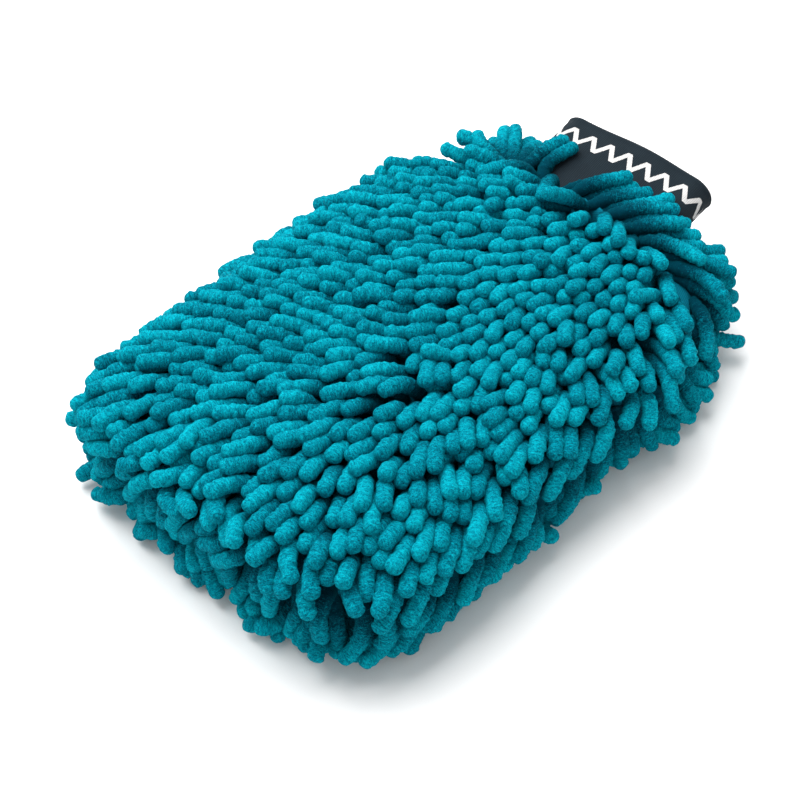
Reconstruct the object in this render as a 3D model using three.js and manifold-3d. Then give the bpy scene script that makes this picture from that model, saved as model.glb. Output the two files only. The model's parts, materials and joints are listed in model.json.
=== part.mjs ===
// Chenille wash mitt: a padded hand pocket, covered on both sides in rows of chenille fingers, that ends
// in a knitted elastic cuff. Millimetres. X runs across the mitt, +Y along it towards the cuff, +Z up.
// The origin is on the surface that the mitt lies on, under the middle of its overall box.
//
// The layers are nested pillows. From outside in: chenille pile, knitted backing, padding, lining, and
// the empty pocket. Each layer is one pillow less the next one, cut along the side seam into an upper
// and a lower piece, and the pile is cut across into the rows that its fingers are knitted in.

import * as THREE from 'three';
import { mergeVertices } from 'three/addons/utils/BufferGeometryUtils.js';
import Module from 'manifold-3d';

const wasm = await Module();
wasm.setup();

// ---- driving dimensions ----

const GAP = 0.3;                  // clearance between neighbouring pieces
const SEAM_Z = 32;                // height of the side seam, where upper and lower panels meet
const WIDEST_Y = -24;             // the station where the mitt is widest and highest
const BODY_END_Y = 98;            // where the padded body stops and the neck begins

// Half sizes of a pillow, measured from the side seam at the widest station. The pillow is cut off at
// the neck, so neckReach only says how fast it narrows on the way there. The three roundnesses are
// exponents of a rounded box: 1 is an ellipse, and smaller is squarer. closedRoundness and
// neckRoundness shape the plan towards each end, and sectionRoundness the cross-section.
const PILE = {
  halfWidth: 100,
  halfHeight: 38,
  closedReach: 128.5,
  neckReach: 195,
  closedRoundness: 0.3,
  neckRoundness: 0.65,
  sectionRoundness: 0.65,
};
const PANEL = {
  halfWidth: 85,
  halfHeight: 16,
  closedReach: 113.5,
  neckReach: 165,
  closedRoundness: 0.4,
  neckRoundness: 0.65,
  sectionRoundness: 0.75,
};

const BACKING_THICKNESS = 1.6;
const PADDING_THICKNESS = 5;
const LINING_THICKNESS = 1.2;
const SEAM_TAPE_HEIGHT = 1.8;

const ROWS_PER_SIDE = 20;
const END_ROW_Y = -128;           // the first row wraps the closed end, up to this station

// The cuff lies along its own axis, which starts at the neck line and lifts towards the open rim.
const NECK_LINE_Y = 103;
const CUFF_Z = 40;
const CUFF_LIFT = THREE.MathUtils.degToRad(13);
const CUFF_ROOT = 2;              // distances along the cuff's axis, from the neck line
const CUFF_RIM = 48.6;
const CUFF_HALF_WIDTH = 44;
const CUFF_HALF_HEIGHT = 10;
const CUFF_WALL = 2.4;

const OVERLOCK_WIDTH = 3.5;       // the sewn edge that joins the cuff to the panels
const OVERLOCK_THICKNESS = 1.6;
const CUFF_SEAM = { width: 2.6, height: 1.4, endMargin: 2 };

// The last fingers lie forwards over the cuff. Their mass is a wedge that starts at the neck line and
// leans away from the body, which leaves room for the cuff to bend.
const FRINGE_TIP_Y = 133;
const FRINGE_LOWEST_Z = 4;
const UPPER_FRINGE_LEAN = THREE.MathUtils.degToRad(38);
const LOWER_FRINGE_LEAN = THREE.MathUtils.degToRad(30);
const FRINGE_CUFF_CLEARANCE = OVERLOCK_THICKNESS + 2 * GAP;

const PILLOW_SEGMENTS = 20;

const FAR = 400;                  // larger than the mitt, for the boxes that cut it
const OVERCUT = 1;                // how far a bore runs past both ends of what it cuts
const ON_AXIS = 1e-9;             // a sphere's poles, where a direction across it has no meaning

// ---- materials ----

function plainMaterial(color, roughness) {
  return new THREE.MeshStandardMaterial({ color, roughness, metalness: 0 });
}

const chenille = plainMaterial(0x07748a, 0.95);
const knittedBacking = plainMaterial(0x016a87, 0.9);
const foam = plainMaterial(0xe9e6da, 0.95);
const liningCloth = plainMaterial(0x23282c, 0.85);
const elastic = plainMaterial(0x1c2a36, 0.8);
const thread = plainMaterial(0x0b5f70, 0.7);

// ---- solids ----

// A closed geometry as a solid that can be cut.
function solidFrom(geometry) {
  geometry.deleteAttribute('normal');
  geometry.deleteAttribute('uv');
  const merged = mergeVertices(geometry);
  return new wasm.Manifold(new wasm.Mesh({
    numProp: 3,
    vertProperties: new Float32Array(merged.attributes.position.array),
    triVerts: new Uint32Array(merged.index.array),
  }));
}

// A cut solid as a named mesh.
function meshFrom(solid, name, material) {
  const { vertProperties, triVerts } = solid.getMesh();
  const geometry = new THREE.BufferGeometry();
  geometry.setAttribute('position', new THREE.BufferAttribute(new Float32Array(vertProperties), 3));
  geometry.setIndex(new THREE.BufferAttribute(new Uint32Array(triVerts), 1));
  geometry.computeVertexNormals();
  const mesh = new THREE.Mesh(geometry, material);
  mesh.name = name;
  return mesh;
}

function boxBetween(low, high) {
  const size = high.map((value, axis) => value - low[axis]);
  const geometry = new THREE.BoxGeometry(...size);
  geometry.translate(...low.map((value, axis) => value + size[axis] / 2));
  return solidFrom(geometry);
}

const signedPower = (value, power) => Math.sign(value) * Math.abs(value) ** power;

// A pillow: a sphere whose rings of constant Y become rounded-box sections, small at both ends.
// The inset shrinks every half size by the same amount, so pillows with growing insets nest.
function pillow(shape, inset = 0) {
  const geometry = new THREE.SphereGeometry(1, PILLOW_SEGMENTS, PILLOW_SEGMENTS);
  const position = geometry.attributes.position;
  for (let i = 0; i < position.count; i++) {
    const along = position.getY(i);
    const radius = Math.hypot(position.getX(i), position.getZ(i));
    const across = radius > ON_AXIS ? position.getX(i) / radius : 0;
    const upward = radius > ON_AXIS ? position.getZ(i) / radius : 0;
    const reach = along < 0 ? shape.closedReach : shape.neckReach;
    const planRoundness = along < 0 ? shape.closedRoundness : shape.neckRoundness;
    const section = radius ** planRoundness;
    position.setXYZ(
      i,
      (shape.halfWidth - inset) * section * signedPower(across, shape.sectionRoundness),
      WIDEST_Y + (reach - inset) * signedPower(along, planRoundness),
      SEAM_Z + (shape.halfHeight - inset) * section * signedPower(upward, shape.sectionRoundness),
    );
  }
  return solidFrom(geometry);
}

// The part of one layer that lies in the padded body: the outer pillow less the inner one.
function layer(outer, inner) {
  const body = boxBetween([-FAR, -FAR, 0], [FAR, BODY_END_Y, FAR]);
  return outer.subtract(inner).intersect(body);
}

const above = (z) => boxBetween([-FAR, -FAR, z], [FAR, FAR, FAR]);
const below = (z) => boxBetween([-FAR, -FAR, -FAR], [FAR, FAR, z]);

// Puts a geometry that is built along the cuff's axis, from the neck line, in its place on the mitt.
function placeOnCuff(geometry) {
  geometry.rotateX(CUFF_LIFT);
  geometry.translate(0, NECK_LINE_Y, CUFF_Z);
  return geometry;
}

// Everything above the cuff's middle plane when side is 1, and below it when side is -1.
function cuffHalf(side) {
  const geometry = new THREE.BoxGeometry(2 * FAR, 2 * FAR, FAR);
  geometry.translate(0, 0, side * (FAR + GAP) / 2);
  return solidFrom(placeOnCuff(geometry));
}

// The cuff is a flat tube. This is its outline, a bar with half-round ends, grown by a margin.
function cuffOutline(margin) {
  const radius = CUFF_HALF_HEIGHT + margin;
  const straight = CUFF_HALF_WIDTH - CUFF_HALF_HEIGHT;
  const outline = new THREE.Shape();
  outline.absarc(straight, 0, radius, -Math.PI / 2, Math.PI / 2, false);
  outline.absarc(-straight, 0, radius, Math.PI / 2, Math.PI * 1.5, false);
  outline.closePath();
  return outline;
}

function cuffBar(margin, from, to) {
  const settings = { depth: to - from, bevelEnabled: false, curveSegments: 8 };
  const geometry = new THREE.ExtrudeGeometry(cuffOutline(margin), settings);
  geometry.rotateX(-Math.PI / 2);
  geometry.translate(0, from, 0);
  return solidFrom(placeOnCuff(geometry));
}

function cuffTube(outerMargin, innerMargin, from, to) {
  return cuffBar(outerMargin, from, to).subtract(cuffBar(innerMargin, from - OVERCUT, to + OVERCUT));
}

// The wedge of fingers over the cuff when side is 1, and under it when side is -1.
function fringeWedge(side, lean) {
  const leaning = new THREE.BoxGeometry(2 * FAR, FAR, 2 * FAR);
  leaning.translate(0, FAR / 2, 0);
  leaning.rotateX(-side * lean);
  leaning.translate(0, NECK_LINE_Y, CUFF_Z);
  const tips = boxBetween([-FAR, NECK_LINE_Y, FRINGE_LOWEST_Z], [FAR, FRINGE_TIP_Y, FAR]);
  const mass = pillow(PILE).intersect(solidFrom(leaning)).intersect(tips).intersect(cuffHalf(side));
  return mass.subtract(cuffBar(FRINGE_CUFF_CLEARANCE, -FAR, FAR));
}

// ---- sub-parts ----

const mitt = new THREE.Group();

const rowNumber = (index) => String(index + 1).padStart(2, '0');

// Rows of chenille fingers, from the closed end to the neck, on the upper and the lower panel.
function addChenilleRows() {
  const pile = layer(pillow(PILE), pillow(PANEL, -GAP));
  const halves = {
    top: pile.intersect(above(SEAM_Z + GAP / 2)),
    bottom: pile.intersect(below(SEAM_Z - GAP / 2)),
  };
  const pitch = (BODY_END_Y - END_ROW_Y) / (ROWS_PER_SIDE - 1);
  for (const [side, half] of Object.entries(halves)) {
    for (let index = 0; index < ROWS_PER_SIDE; index++) {
      const fromY = index === 0 ? -FAR : END_ROW_Y + (index - 1) * pitch + GAP / 2;
      const toY = END_ROW_Y + index * pitch - GAP / 2;
      const row = half.intersect(boxBetween([-FAR, fromY, -FAR], [FAR, toY, FAR]));
      mitt.add(meshFrom(row, `${side}_chenille_row_${rowNumber(index)}`, chenille));
    }
  }
}

// The two knitted panels that the rows grow from, and the sewn edge between them.
function addBacking() {
  const shell = layer(pillow(PANEL), pillow(PANEL, BACKING_THICKNESS));
  const halfTape = SEAM_TAPE_HEIGHT / 2;
  const top = shell.intersect(above(SEAM_Z + halfTape + GAP));
  const bottom = shell.intersect(below(SEAM_Z - halfTape - GAP));
  const tape = shell.intersect(above(SEAM_Z - halfTape)).intersect(below(SEAM_Z + halfTape));
  mitt.add(meshFrom(top, 'top_backing_panel', knittedBacking));
  mitt.add(meshFrom(bottom, 'bottom_backing_panel', knittedBacking));
  mitt.add(meshFrom(tape, 'perimeter_seam', thread));
}

// A layer inside the backing, in an upper and a lower piece.
function addInnerLayer(name, depth, thickness, material) {
  const shell = layer(pillow(PANEL, depth), pillow(PANEL, depth + thickness));
  mitt.add(meshFrom(shell.intersect(above(SEAM_Z + GAP / 2)), `top_${name}`, material));
  mitt.add(meshFrom(shell.intersect(below(SEAM_Z - GAP / 2)), `bottom_${name}`, material));
}

function addPaddingAndLining() {
  const paddingDepth = BACKING_THICKNESS + GAP;
  const liningDepth = paddingDepth + PADDING_THICKNESS + GAP;
  addInnerLayer('padding', paddingDepth, PADDING_THICKNESS, foam);
  addInnerLayer('pocket_lining', liningDepth, LINING_THICKNESS, liningCloth);
}

// The knitted elastic: an upper and a lower band, sewn together along both edges.
function addCuff() {
  const tube = cuffTube(0, -CUFF_WALL, CUFF_ROOT, CUFF_RIM);
  mitt.add(meshFrom(tube.intersect(cuffHalf(1)), 'cuff_elastic_upper', elastic));
  mitt.add(meshFrom(tube.intersect(cuffHalf(-1)), 'cuff_elastic_lower', elastic));
}

// The seam allowances inside the cuff, where its two bands meet.
function addCuffSideSeams() {
  const length = CUFF_RIM - CUFF_ROOT - 2 * CUFF_SEAM.endMargin;
  const outerEdge = CUFF_HALF_WIDTH - CUFF_WALL - GAP;
  for (const [name, side] of [['left', -1], ['right', 1]]) {
    const geometry = new THREE.BoxGeometry(CUFF_SEAM.width, length, CUFF_SEAM.height);
    geometry.translate(side * (outerEdge - CUFF_SEAM.width / 2), (CUFF_ROOT + CUFF_RIM) / 2, 0);
    const seam = new THREE.Mesh(placeOnCuff(geometry), thread);
    seam.name = `cuff_side_seam_${name}`;
    mitt.add(seam);
  }
}

// The overlocked edge that holds the cuff to the panels, round the cuff's root.
function addNeckOverlock() {
  const ring = cuffTube(GAP + OVERLOCK_THICKNESS, GAP, CUFF_ROOT, CUFF_ROOT + OVERLOCK_WIDTH);
  mitt.add(meshFrom(ring.intersect(cuffHalf(1)), 'neck_overlock_upper', thread));
  mitt.add(meshFrom(ring.intersect(cuffHalf(-1)), 'neck_overlock_lower', thread));
}

// The last fingers, which lie over and under the cuff.
function addNeckFringes() {
  mitt.add(meshFrom(fringeWedge(1, UPPER_FRINGE_LEAN), 'neck_fringe_upper', chenille));
  mitt.add(meshFrom(fringeWedge(-1, LOWER_FRINGE_LEAN), 'neck_fringe_lower', chenille));
}

addChenilleRows();
addBacking();
addPaddingAndLining();
addCuff();
addCuffSideSeams();
addNeckOverlock();
addNeckFringes();

export default mitt;
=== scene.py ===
"""Looks of the chenille wash mitt: fingers settled by a small physics solver, sewn cloth and elastic cuff.

Everything is in metres in the frame's own axes: X across the mitt, +Y towards the cuff, +Z up.
"""
import json
import math

import bmesh
import bpy
import numpy as np
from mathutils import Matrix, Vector
from mathutils.kdtree import KDTree


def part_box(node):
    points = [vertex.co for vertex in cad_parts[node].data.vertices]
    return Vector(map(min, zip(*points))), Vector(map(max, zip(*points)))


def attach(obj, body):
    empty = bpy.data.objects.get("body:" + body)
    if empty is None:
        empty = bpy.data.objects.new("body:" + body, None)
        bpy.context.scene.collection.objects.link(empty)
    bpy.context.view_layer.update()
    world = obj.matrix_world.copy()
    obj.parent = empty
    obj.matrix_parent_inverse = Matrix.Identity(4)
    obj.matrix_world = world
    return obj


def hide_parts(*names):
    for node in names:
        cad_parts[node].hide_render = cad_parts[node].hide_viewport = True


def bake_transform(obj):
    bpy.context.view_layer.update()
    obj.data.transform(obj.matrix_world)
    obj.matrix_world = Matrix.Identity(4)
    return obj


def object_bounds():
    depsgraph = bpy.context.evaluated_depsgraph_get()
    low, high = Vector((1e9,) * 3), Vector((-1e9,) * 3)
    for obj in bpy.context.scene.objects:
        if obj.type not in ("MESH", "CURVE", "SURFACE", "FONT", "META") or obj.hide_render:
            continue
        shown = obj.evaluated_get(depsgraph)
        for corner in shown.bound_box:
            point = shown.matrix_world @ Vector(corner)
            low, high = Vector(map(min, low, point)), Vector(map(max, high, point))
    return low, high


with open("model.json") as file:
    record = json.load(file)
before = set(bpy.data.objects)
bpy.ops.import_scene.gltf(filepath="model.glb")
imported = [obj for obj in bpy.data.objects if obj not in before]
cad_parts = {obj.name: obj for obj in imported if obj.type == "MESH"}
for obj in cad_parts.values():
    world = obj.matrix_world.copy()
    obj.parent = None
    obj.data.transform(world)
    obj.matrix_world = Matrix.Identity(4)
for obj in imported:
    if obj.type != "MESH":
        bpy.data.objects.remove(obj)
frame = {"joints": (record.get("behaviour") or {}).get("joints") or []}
CAD_LOW, CAD_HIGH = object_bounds()

MM = 0.001
RNG = np.random.default_rng(20)

# ---- the frame's own stations

SEAM_Z = sum(corner[2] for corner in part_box("perimeter_seam")) / 2
NECK_END_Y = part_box("top_backing_panel")[1][1]
PANEL_CLOSED_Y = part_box("perimeter_seam")[0][1]
PANEL_HALF_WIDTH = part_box("perimeter_seam")[1][0]
PANEL_TOP_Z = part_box("top_backing_panel")[1][2]
WIDEST_Y = -24 * MM
PANEL_NECK_REACH = 165 * MM  # from the widest station to where the panels' curve would close
PILE_NECK_REACH = 195 * MM  # the same for the pile
PILE_INSET = 4 * MM  # fingers are pressed to an outline this far inside the CAD pile
PANEL_ROUNDNESS = (0.4, 0.65, 0.75)  # of the closed end, of the neck and in section
PILE_ROUNDNESS = (0.3, 0.65, 0.65)
ARC_POINTS = 400  # in half a cross-section of the mitt or the cuff
FLOOR_Z = CAD_LOW[2]

CUFF_JOINT = next(joint for joint in frame["joints"] if joint["name"] == "cuff_flex")
CUFF_PIVOT = np.array(CUFF_JOINT["pos_m"])  # the neck line, on the cuff's middle plane
CUFF_LIFT = math.radians(13)  # how far the cuff tilts up at rest
CUFF_RIM = 48.6 * MM  # from the neck line to the rim
CUFF_HALF_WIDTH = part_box("cuff_elastic_upper")[1][0]
CUFF_HALF_HEIGHT = 10 * MM
CUFF_STRAIGHT = CUFF_HALF_WIDTH - CUFF_HALF_HEIGHT  # half the flat part of its section


def signed_power(value, power):
    return np.sign(value) * np.abs(value) ** power


class Pillow:
    """A rounded-box pillow about the side seam, with its own roundness at either end and in section."""

    def __init__(self, half_width, half_height, closed, neck, roundness):
        self.half_width = half_width
        self.half_height = half_height
        self.closed = closed
        self.neck = neck
        self.closed_roundness, self.neck_roundness, self.section_roundness = roundness

    def gauge(self, points):
        """1 on the surface, less inside, more outside; grows evenly along any line from the middle."""
        along = points[..., 1] - WIDEST_Y
        reach = np.where(along < 0, self.closed, self.neck)
        roundness = np.where(along < 0, self.closed_roundness, self.neck_roundness)
        power = 2 / self.section_roundness
        across = np.abs(points[..., 0] / self.half_width) ** power
        upward = np.abs((points[..., 2] - SEAM_Z) / self.half_height) ** power
        section = (across + upward) ** (self.section_roundness / roundness)
        return (section + np.abs(along / reach) ** (2 / roundness)) ** (roundness / 2)

    def gradient(self, points):
        step = 0.05 * MM
        moves = np.eye(3) * step
        sides = [(self.gauge(points + move) - self.gauge(points - move)) / (2 * step) for move in moves]
        return np.stack(sides, axis=-1)

    def normal(self, points):
        slope = self.gradient(points)
        return slope / np.linalg.norm(slope, axis=-1, keepdims=True)

    def section_scale(self, y):
        """How big the cross-section at station y is, next to the widest one."""
        along = y - WIDEST_Y
        reach = self.closed if along < 0 else self.neck
        roundness = self.closed_roundness if along < 0 else self.neck_roundness
        ring = 1 - min(abs(along / reach), 1) ** (2 / roundness)
        return ring ** (roundness / 2)

    def arc(self, y, side):
        """Points of the cross-section at station y, from the right seam to the left, over or under."""
        angle = np.linspace(0, math.pi, ARC_POINTS)
        scale = self.section_scale(y)
        x = self.half_width * scale * signed_power(np.cos(angle), self.section_roundness)
        z = SEAM_Z + side * self.half_height * scale * np.abs(np.sin(angle)) ** self.section_roundness
        return np.stack([x, np.full(ARC_POINTS, y), z], axis=-1)

    def end_point(self, x, z):
        """The point of the closed end at that x and z."""
        power = 2 / self.section_roundness
        section = np.abs(x / self.half_width) ** power + np.abs((z - SEAM_Z) / self.half_height) ** power
        ring = 1 - section ** (self.section_roundness / self.closed_roundness)
        return np.array([x, WIDEST_Y - self.closed * ring ** (self.closed_roundness / 2), z])


def panel_pillow(inset=0.0):
    """The sewn body under the pile, or a layer that lies inset below its surface."""
    return Pillow(
        PANEL_HALF_WIDTH - inset,
        PANEL_TOP_Z - SEAM_Z - inset,
        WIDEST_Y - PANEL_CLOSED_Y - inset,
        PANEL_NECK_REACH - inset,
        roundness=PANEL_ROUNDNESS,
    )


def pile_pillow():
    """The outline that the fingers are pressed to."""
    return Pillow(
        CAD_HIGH[0] - PILE_INSET,
        CAD_HIGH[2] - SEAM_Z - PILE_INSET,
        WIDEST_Y - CAD_LOW[1] - PILE_INSET / 2,
        PILE_NECK_REACH - PILE_INSET,
        roundness=PILE_ROUNDNESS,
    )


# ---- where the fingers grow

FINGER_RADIUS = 3.5 * MM
FINGER_LENGTH = 34 * MM
LENGTH_SPREAD = 2.5 * MM
ROWS_PER_SIDE = 20
LINE_SPACING = {1: 11.6 * MM, -1: 15.5 * MM}  # between fingers of one line, over and under
ROW_LINES = (0.25, 0.75)  # the two lines of a row, as shares of its width, and their stagger
FIRST_ROW_START = 1.0 * MM  # from the closed end of the panels
END_FACE_LINES = (3.0 * MM, 9.5 * MM)  # heights over the seam of the lines on the closed end
END_FACE_SPACING = 10.5 * MM
END_FACE_HALF_WIDTH = 58 * MM
SEAM_FINGER_STEP = 4  # points of the section between the seam and the fingers that hang over it
ROOT_JITTER = 1.3 * MM


def path_length(points):
    return np.linalg.norm(np.diff(points, axis=0), axis=1).sum()


def distances_along(points):
    """How far along a polyline each of its points lies."""
    steps = np.linalg.norm(np.diff(points, axis=0), axis=1)
    return np.concatenate([[0], np.cumsum(steps)])


def points_at(points, wanted):
    """The points that lie at the wanted distances along a polyline."""
    reached = distances_along(points)
    return np.stack([np.interp(wanted, reached, points[:, axis]) for axis in range(3)], axis=-1)


def resample(points, count):
    return points_at(points, np.linspace(0, distances_along(points)[-1], count))


def spread_along(points, spacing, phase):
    """Cuts a polyline into even stretches of about spacing, and takes the point at phase in each."""
    whole = distances_along(points)[-1]
    count = max(int(whole / spacing), 1)
    return points_at(points, (np.arange(count) + phase) * (whole / count))


def row_stations():
    """Where each CAD row starts and ends along Y, from the closed end to the neck."""
    stations = []
    for index in range(ROWS_PER_SIDE):
        low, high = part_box(f"top_chenille_row_{index + 1:02d}")
        stations.append((low[1], high[1]))
    return stations


def row_roots(panel, index, side, station):
    """Roots of one row: two staggered lines, and on top also those over the seam and the closed end."""
    low, high = station
    if index == 0:
        low = PANEL_CLOSED_Y + FIRST_ROW_START
    lines = []
    for line in ROW_LINES:
        y = low + line * (high - low)
        lines.append(spread_along(panel.arc(y, side), LINE_SPACING[side], line))
    if side > 0:
        arc = panel.arc((low + high) / 2, side)
        lines.append(arc[[SEAM_FINGER_STEP, -1 - SEAM_FINGER_STEP]])
    if index == 0 and side > 0:
        for line, height in enumerate(END_FACE_LINES):
            half = END_FACE_HALF_WIDTH - line * END_FACE_SPACING / 2
            xs = np.arange(-half, half + MM, END_FACE_SPACING)
            lines.append(np.array([panel.end_point(x, SEAM_Z + side * height) for x in xs]))
    return np.concatenate(lines)


# ---- how the fingers settle

PARTICLES = 8  # along one finger; the first is its root
SETTLE_STEPS = 130
CONSTRAINT_PASSES = 4
CONTACT_DISTANCE = 6.7 * MM  # chenille gives a little where two fingers press together
NEIGHBOUR_EVERY = 6
SMOOTHING_PASSES = 3  # afterwards, so that pushes between neighbours leave no kinks
GRAVITY_STEP = 0.17 * MM
PILE_PRESS = 0.15  # how firmly the pile is combed into its outline at each step
CONTACT_PUSH = 0.35  # share of an overlap that each of two fingers gives way at a time
BODY_CLEARANCE = 0.8 * FINGER_RADIUS
CUFF_CLEARANCE = 0.95 * FINGER_RADIUS
CURL = 0.14  # the most that a finger's own curl turns a link, as a share of its length
BEND_STIFFNESS = {"flat": 0.13, "steep": 0.05}  # fingers hang limp where they grow from a steep place
ROOT_STIFFNESS = {"flat": 0.42, "steep": 0.30}


def smooth_step(value, low, high):
    t = np.clip((value - low) / (high - low), 0, 1)
    return t * t * (3 - 2 * t)


def unit(vectors):
    return vectors / np.maximum(np.linalg.norm(vectors, axis=-1, keepdims=True), 1e-9)


def drift(points):
    """A slow swirl over the mitt, so that neighbouring fingers lean the same way in patches."""
    x, y = points[:, 0] / (23 * MM), points[:, 1] / (29 * MM)
    across = np.sin(1.3 * x + 0.7 * y + 0.4) + np.sin(0.5 * x - 1.6 * y + 2.1)
    along = np.sin(-0.9 * x + 1.1 * y + 4.0) + np.sin(1.7 * x + 0.4 * y + 1.2)
    return np.stack([across, along, np.zeros(len(points))], axis=-1) / 2


BRUSH_LEFT = np.array([-0.60, -0.90, 0.0])
BRUSH_UPPER_LEFT = np.array([-0.28, -1.05, 0.0])
BRUSH_RIGHT = np.array([0.34, -0.55, 0.0])
BRUSH_CLOSED_END = np.array([-0.15, -1.10, 0.0])
BRUSH_NECK = np.array([0.10, -1.0, 0.0])  # added to the others on the last rows
RIGHT_TURN = (-34 * MM, 62 * MM)  # stretches over which one way of brushing turns into the next
UPPER_TURN = (5 * MM, 45 * MM)
CLOSED_END_TURN = (70 * MM, 125 * MM)  # towards -Y
NECK_TURN = (66 * MM, 92 * MM)
DRIFT = 0.28  # how much the slow swirl adds to a lean
STRAY = 0.16  # and how much each finger's own whim


def brush_field(roots):
    """The way the top is brushed: to the closed end and the left, but to the right on the right."""
    x, y = roots[:, :1], roots[:, 1:2]
    right = smooth_step(x, *RIGHT_TURN)
    upper = smooth_step(y, *UPPER_TURN)
    closed_end = smooth_step(-y, *CLOSED_END_TURN)
    neck = smooth_step(y, *NECK_TURN)
    to_upper_left = (BRUSH_UPPER_LEFT - BRUSH_LEFT) * upper
    to_closed_end = (BRUSH_CLOSED_END - BRUSH_LEFT) * closed_end
    left = BRUSH_LEFT + to_upper_left + to_closed_end
    return left * (1 - right) + BRUSH_RIGHT * right + BRUSH_NECK * neck


def body_lean(panel, roots, side):
    """The way each finger of the body wants to point from its root."""
    normal = panel.normal(roots)
    flatness = np.abs(normal[:, 2:3])
    steepness = 1 - flatness
    stray = drift(roots) * DRIFT + RNG.normal(size=(len(roots), 3)) * STRAY
    if side < 0:
        outward = roots * np.array([1 / (80 * MM), 1 / (130 * MM), 0])
        tucked = np.array([0, 0, -1.3]) - 0.5 * normal * [1, 1, 0]
        return unit((normal * 0.45 + outward * 0.7) * flatness + tucked * steepness + stray)
    hang = np.array([0, 0, -2.0]) * steepness * (1 - 0.7 * closed_left_corner(roots))[:, None]
    brushed = brush_field(roots) * (0.2 + 0.8 * flatness)
    return unit(normal * (0.4 + 0.6 * flatness) + brushed + hang + stray)


CORNER_ACROSS = (45 * MM, 80 * MM)  # from the middle to the left
CORNER_ALONG = (85 * MM, 120 * MM)  # and towards the closed end
SHOULDER_ACROSS = (50 * MM, 80 * MM)
SHOULDER_ALONG = (0, 40 * MM)


def closed_left_corner(roots):
    """1 at the left corner of the closed end, 0 away from it."""
    return smooth_step(-roots[:, 0], *CORNER_ACROSS) * smooth_step(-roots[:, 1], *CORNER_ALONG)


def body_press(roots):
    """How firmly each finger of the body is combed in: less at the left corner and right shoulder."""
    shoulder = smooth_step(roots[:, 0], *SHOULDER_ACROSS) * smooth_step(roots[:, 1], *SHOULDER_ALONG)
    return PILE_PRESS * (1 - 0.85 * closed_left_corner(roots)) * (1 - 0.7 * shoulder)


def settle(panel, pile, roots, directions, lengths, press):
    """Lets fingers fall against each other, the padded body, the cuff and the floor.

    Each finger is a chain of particles. Every step moves them down a little, and then stretching,
    bending and contact are put right, several times over. Returns the particles, finger by finger.
    """
    count = len(roots)
    spacing = (lengths / (PARTICLES - 1))[:, None]
    steps = np.arange(PARTICLES)[None, :, None]
    chains = roots[:, None] + directions[:, None] * spacing[..., None] * steps
    curl = unit(np.cross(directions, RNG.normal(size=(count, 3)))) * RNG.uniform(0, CURL, (count, 1))
    flatness = np.abs(panel.normal(roots)[:, 2:3])
    bend, hold = (kind["steep"] + (kind["flat"] - kind["steep"]) * flatness
                  for kind in (BEND_STIFFNESS, ROOT_STIFFNESS))
    finger_of = np.repeat(np.arange(count), PARTICLES)
    is_free = np.tile(np.arange(PARTICLES) > 0, count)
    first, second = None, None
    for step in range(SETTLE_STEPS):
        chains[:, 1:, 2] -= GRAVITY_STEP
        if step % NEIGHBOUR_EVERY == 0:
            first, second = close_pairs(chains.reshape(-1, 3), finger_of)
        for _ in range(CONSTRAINT_PASSES):
            keep_root_direction(chains, roots, directions * spacing, hold)
            straighten(chains, curl * spacing, bend)
            keep_lengths(chains, roots, spacing)
            push_apart(chains.reshape(-1, 3), first, second, is_free)
            keep_outside(panel, chains)
            keep_off_cuff(chains[:, 1:])
        press_into(pile, chains[:, 2:], press)
    for _ in range(SMOOTHING_PASSES):
        chains[:, 1:-1] += (chains[:, :-2] + chains[:, 2:] - 2 * chains[:, 1:-1]) / 4
    return chains


def close_pairs(points, finger_of):
    """Index pairs of particles of different fingers that are near each other."""
    tree = KDTree(len(points))
    for index, point in enumerate(points.tolist()):
        tree.insert(point, index)
    tree.balance()
    reach = CONTACT_DISTANCE + 2 * MM
    pairs = []
    for index, point in enumerate(points.tolist()):
        pairs.extend((index, other) for _, other, _ in tree.find_range(point, reach) if other > index)
    pairs = np.array(pairs)
    apart = finger_of[pairs[:, 0]] != finger_of[pairs[:, 1]]
    return pairs[apart, 0], pairs[apart, 1]


def keep_root_direction(chains, roots, steps, hold):
    for index in (1, 2):
        wanted = roots + steps * index
        chains[:, index] += (wanted - chains[:, index]) * hold / index ** 2


def straighten(chains, curl, bend):
    """Turns each link towards the line of the one before it, bent by the finger's own curl."""
    for index in range(1, PARTICLES - 1):
        ahead = chains[:, index] + (chains[:, index] - chains[:, index - 1]) + curl
        error = (ahead - chains[:, index + 1]) * bend
        chains[:, index + 1] += error
        if index > 1:
            chains[:, index] -= error * 0.5


def keep_lengths(chains, roots, spacing):
    chains[:, 0] = roots
    for index in range(PARTICLES - 1):
        link = chains[:, index + 1] - chains[:, index]
        length = np.linalg.norm(link, axis=-1, keepdims=True)
        excess = link * (1 - spacing / np.maximum(length, 1e-9))
        share = 1.0 if index == 0 else 0.6
        chains[:, index + 1] -= excess * share
        if index > 0:
            chains[:, index] += excess * (1 - share)


def push_apart(points, first, second, is_free):
    gap = points[first] - points[second]
    distance = np.linalg.norm(gap, axis=-1)
    overlap = np.maximum(CONTACT_DISTANCE - distance, 0)
    touching = overlap > 0
    first, second = first[touching], second[touching]
    share = CONTACT_PUSH * overlap[touching] / np.maximum(distance[touching], 1e-6)
    push = gap[touching] * share[:, None]
    for axis in range(3):
        given = np.bincount(first, push[:, axis], len(points))
        taken = np.bincount(second, push[:, axis], len(points))
        points[:, axis] += (given - taken) * is_free


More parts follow.
